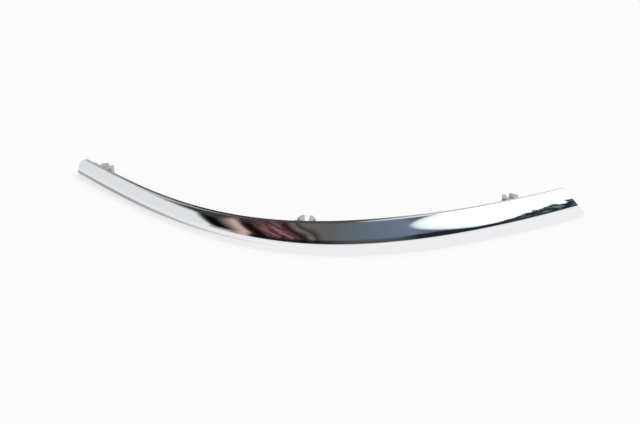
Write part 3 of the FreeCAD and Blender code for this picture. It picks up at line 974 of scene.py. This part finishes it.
def white_wedge(azimuth, elevation):
    """White over the right half, behind a curved edge with a cold rim."""
    off = elevation - WEDGE_ELEVATION
    over = off.math("MAXIMUM", 0.0)
    inside = azimuth - WEDGE_AZIMUTH - off * off * WEDGE_BEND - over * over * WEDGE_BEND_ABOVE
    tint = layered(smoothed(inside, 2.0, 9.0), (0.86, 0.99, 1.04), (1.20, 1.21, 1.22))
    return smoothed(inside, -0.8, 3.4), tint


def skyline(azimuth, elevation):
    """Dark, jagged skyline along the foot of the wedge, a thin even line at its left."""
    jags = node(azimuth.tree, "ShaderNodeTexNoise", {"noise_dimensions": "1D"}, W=azimuth, Scale=0.55,
                Detail=3.0)
    crest = out(jags, "Fac") * SKYLINE_JAGS * smoothed(azimuth, 47.0, 60.0)
    crest = crest + below(azimuth, 34.0, 44.0) * SKYLINE_LINE + SKYLINE_HEIGHT
    share = smoothed(crest - elevation, -0.8, 0.8) * between(azimuth, (20.0, 29.0), (62.0, 68.0))
    noise = mottling(azimuth * 0.5, elevation * 0.28, 3.0, 0.5)
    patch = smoothed(noise, 0.46, 0.66) * smoothed(azimuth, 47.0, 56.0)
    patch = patch * smoothed(elevation, 2.0, 8.0)
    return share, layered(patch, (0.018, 0.022, 0.028), (0.20, 0.26, 0.29))


def dark_haze(azimuth, elevation):
    """Haze high at the far left."""
    share = smoothed(elevation, 23.0, 29.0) * between(azimuth, (-97.0, -76.0), (-64.0, -58.0))
    return share, (0.05, 0.05, 0.05)


def table_edge(elevation):
    """Pale table round the floor."""
    return below(elevation, 1.2, 2.6), (0.88, 0.88, 0.885)


def mirrored_room(azimuth, elevation):
    """The soft room round the studio table, by azimuth and elevation in degrees."""
    slanted = leaning(azimuth, elevation)
    seen = band_ramp(slanted, ROOM_BANDS)
    for share, over in (
            dark_streaks(slanted, elevation), arch_foot(slanted, elevation),
            dark_top(slanted, elevation), dark_foot(azimuth, slanted, elevation),
            white_wedge(azimuth, elevation), skyline(azimuth, elevation),
            dark_haze(azimuth, elevation), table_edge(elevation)):
        seen = layered(share, seen, over)
    return seen


def studio_world(studio):
    """White to the camera, even to what is lit, and a soft room to what mirrors it."""
    world = bpy.data.worlds.new("Soft studio")
    bpy.context.scene.world = world
    world.use_nodes = True
    tree = world.node_tree
    tree.nodes.clear()
    coordinates = node(tree, "ShaderNodeTexCoord")
    turned = node(tree, "ShaderNodeVectorRotate", {"rotation_type": "Z_AXIS"},
                  Vector=out(coordinates, "Generated"), Angle=-studio.view_azimuth)
    parts = node(tree, "ShaderNodeSeparateXYZ", Vector=out(turned, "Vector"))
    across, ahead = out(parts, "X"), out(parts, "Y") * -1.0
    azimuth = across.math("ARCTAN2", ahead).math("DEGREES")
    elevation = out(parts, "Z").math("ARCSINE").math("DEGREES")
    back_azimuth = (across * -1.0).math("ARCTAN2", ahead * -1.0).math("DEGREES")
    above = layered(smoothed(across, -0.60, -0.51), (0.58, 0.58, 0.59), (0.07, 0.07, 0.072))
    above = layered(smoothed(across, 0.0, 0.2), above, (0.84, 0.84, 0.85))
    front = mirrored_room(azimuth, elevation)
    front = layered(smoothed(elevation, 46.0, 58.0), front, above)
    behind = band_ramp(back_azimuth, BACK_BANDS)
    behind = layered(smoothed(elevation, 34.0, 38.0), behind, above)
    whole = layered(smoothed(ahead, -0.30, -0.15), behind, front)
    room = node(tree, "ShaderNodeBackground", Color=whole)
    white = node(tree, "ShaderNodeBackground", Color=(*WHITE, 1.0), Strength=1.0)
    even = node(tree, "ShaderNodeBackground", Color=(*WHITE, 1.0), Strength=studio.sky)
    path = node(tree, "ShaderNodeLightPath")
    lit = shaders_mixed(mirroring(path), even, room)
    seen = shaders_mixed(out(path, "Is Camera Ray"), lit, white)
    result = node(tree, "ShaderNodeOutputWorld")
    tree.links.new(seen.outputs[0], result.inputs["Surface"])


class MOULDING_OT_plated_strip(Operator):
    """Build the plated strip with its ribbed back and let it stand for the moulding"""
    bl_idname = "moulding.plated_strip"
    bl_label = "Plated strip"

    def execute(self, context):
        strip, back = context.scene.strip_sizes, context.scene.back_sizes
        edge = LowerEdge(strip)
        shell = put("plated_strip", Tray(strip, edge).build())
        bending = bending_tree()
        face = chrome_material(context.scene.finish_colours)
        inside = back_material(context.scene.finish_colours)
        along_edge = edge_values(edge)
        run_tree(shell, strip_tree(bending), {**along_edge, "Face": face, "Back": inside})

        taken = taken_stations(back, edge)
        drops = (back.outer_clip_drop, back.clip_drop, back.clip_drop)
        made = bmesh.new()
        for along, drop in zip(taken, drops):
            clip_housing(made, strip, edge, back, along, drop)
        housings = put("clip_housings", made)
        soften(housings, HOUSING_EDGE)
        made = bmesh.new()
        for along in taken[len(drops):]:
            locating_peg(made, strip, edge, back, along)
        pegs = put("locating_pegs", made)
        for piece in (housings, pegs):
            run_tree(piece, strip_tree(bending), {**along_edge, "Face": inside, "Back": inside})

        values = {**along_edge, **section_values(strip, edge)}
        values.update({"Taken " + str(i + 1): along for i, along in enumerate(taken)})
        values.update({"Pitch": back.rib_pitch, "Room": back.housing_half + back.housing_wall,
                       "Finish": inside})
        count = int((edge.length - strip.inner_height) / back.rib_pitch)
        ribs = put("cross_ribs", unit_plate(back.rib_thickness, RIB_ROWS))
        values.update({"First": back.rib_pitch, "Count": count, "Inset": strip.wall * (1.0 - BITE),
                       "Setback": back.rib_setback})
        run_tree(ribs, repeat_tree("Cross ribs", bending, rib_shape), values)
        made = bmesh.new()
        radius, top = back.landing_radius, back.landing_rise + strip.wall / 2
        profile = [(radius, 0.0)] + rounded((radius, top), (radius, 0), (0, top), LANDING_RIM)
        lathe(made, profile, Vector((0, 0, 0)), LANDING_SEGMENTS)
        landings = put("pin_landings", made)
        values.update({"First": back.rib_pitch / 2, "Count": count + 1, "Inset": strip.wall, "Setback": 0.0})
        run_tree(landings, repeat_tree("Ejector pin landings", bending, landing_shape), values)

        piece = join([shell, housings, pegs, ribs, landings], "plated_strip")
        low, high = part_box("moulding")
        corner = Vector([min(vertex.co[i] for vertex in piece.data.vertices) for i in range(3)])
        piece.data.transform(Matrix.Translation((low.x - corner.x, low.y - corner.y, -strip.faced_off)))
        for vertex in piece.data.vertices:
            vertex.co.z = max(vertex.co.z, 0.0)
        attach(piece, BODY)
        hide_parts("moulding")
        return {"FINISHED"}


class MOULDING_OT_snap_clips(Operator):
    """Round the edges of the snap clips and give them their nylon"""
    bl_idname = "moulding.snap_clips"
    bl_label = "Snap clips"

    def execute(self, context):
        nylon = nylon_material(context.scene.finish_colours)
        for name in ("clip_outer", "clip_middle", "clip_inner"):
            made = bmesh.new()
            made.from_mesh(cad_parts[name].data)
            bmesh.ops.remove_doubles(made, verts=made.verts, dist=MERGE)
            bmesh.ops.dissolve_limit(made, angle_limit=math.radians(2.0), verts=made.verts, edges=made.edges)
            piece = put(name + "_nylon", made)
            soften(piece, CLIP_EDGE, 3, 35.0)
            piece.data.shade_smooth()
            piece.data.set_sharp_from_angle(angle=math.radians(40.0))
            piece.data.materials.clear()
            piece.data.materials.append(nylon)
            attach(piece, BODY)
            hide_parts(name)
        return {"FINISHED"}


# Half the floor's width in metres, the camera's sensor in millimetres, and the key lamp's side and spread
FLOOR_REACH, SENSOR_WIDTH = 8.0, 36.0
KEY_SIDE, KEY_SPREAD = (0.85, -0.22, 1.0), 24.0


class MOULDING_OT_studio(Operator):
    """Set the floor, the soft light and the camera"""
    bl_idname = "moulding.studio"
    bl_label = "Studio"

    def execute(self, context):
        studio = context.scene.studio_sizes
        studio_world(studio)
        made = bmesh.new()
        bmesh.ops.create_grid(made, x_segments=1, y_segments=1, size=FLOOR_REACH)
        floor = put("studio_floor", made)
        floor.data.materials.append(floor_material(context.scene.finish_colours))
        lamp = bpy.data.lights.new("Key light", "SUN")
        lamp.energy = studio.key
        lamp.angle = math.radians(KEY_SPREAD)
        key = bpy.data.objects.new("Key light", lamp)
        key.rotation_euler = Vector(KEY_SIDE).to_track_quat("Z", "Y").to_euler()
        context.scene.collection.objects.link(key)
        lens = bpy.data.cameras.new("Camera")
        lens.lens = studio.lens
        lens.sensor_width = SENSOR_WIDTH
        camera = bpy.data.objects.new("Camera", lens)
        turn, rise = studio.view_azimuth, studio.view_elevation
        away = Vector((math.sin(turn) * math.cos(rise), -math.cos(turn) * math.cos(rise), math.sin(rise)))
        camera.location = Vector((studio.target_x, studio.target_y, 0.0)) + away * studio.view_distance
        camera.rotation_euler = away.to_track_quat("Z", "Y").to_euler()
        context.scene.collection.objects.link(camera)
        context.scene.camera = camera
        context.scene.view_settings.view_transform = "Standard"
        return {"FINISHED"}


class MOULDING_PT_panel(Panel):
    """Buttons that build the moulding and its studio"""
    bl_label = "Bumper moulding"
    bl_space_type = "VIEW_3D"
    bl_region_type = "UI"
    bl_category = "Moulding"

    def draw(self, context):
        for step in STEPS:
            self.layout.operator(step.bl_idname)
        for group in (context.scene.strip_sizes, context.scene.back_sizes, context.scene.finish_colours,
                      context.scene.studio_sizes):
            box = self.layout.box()
            for name in group.__annotations__:
                box.prop(group, name)


GROUPS = {"strip_sizes": StripSizes, "back_sizes": BackSizes, "finish_colours": FinishColours,
          "studio_sizes": StudioSizes}
STEPS = (MOULDING_OT_plated_strip, MOULDING_OT_snap_clips, MOULDING_OT_studio)


def register():
    for kind in tuple(GROUPS.values()) + STEPS + (MOULDING_PT_panel,):
        bpy.utils.register_class(kind)
    for name, kind in GROUPS.items():
        setattr(bpy.types.Scene, name, PointerProperty(type=kind))


def unregister():
    for name in GROUPS:
        delattr(bpy.types.Scene, name)
    for kind in (MOULDING_PT_panel,) + STEPS[::-1] + tuple(GROUPS.values())[::-1]:
        bpy.utils.unregister_class(kind)


def main():
    register()
    bpy.ops.moulding.plated_strip()
    bpy.ops.moulding.snap_clips()
    bpy.ops.moulding.studio()


if __name__ == "__main__":
    main()
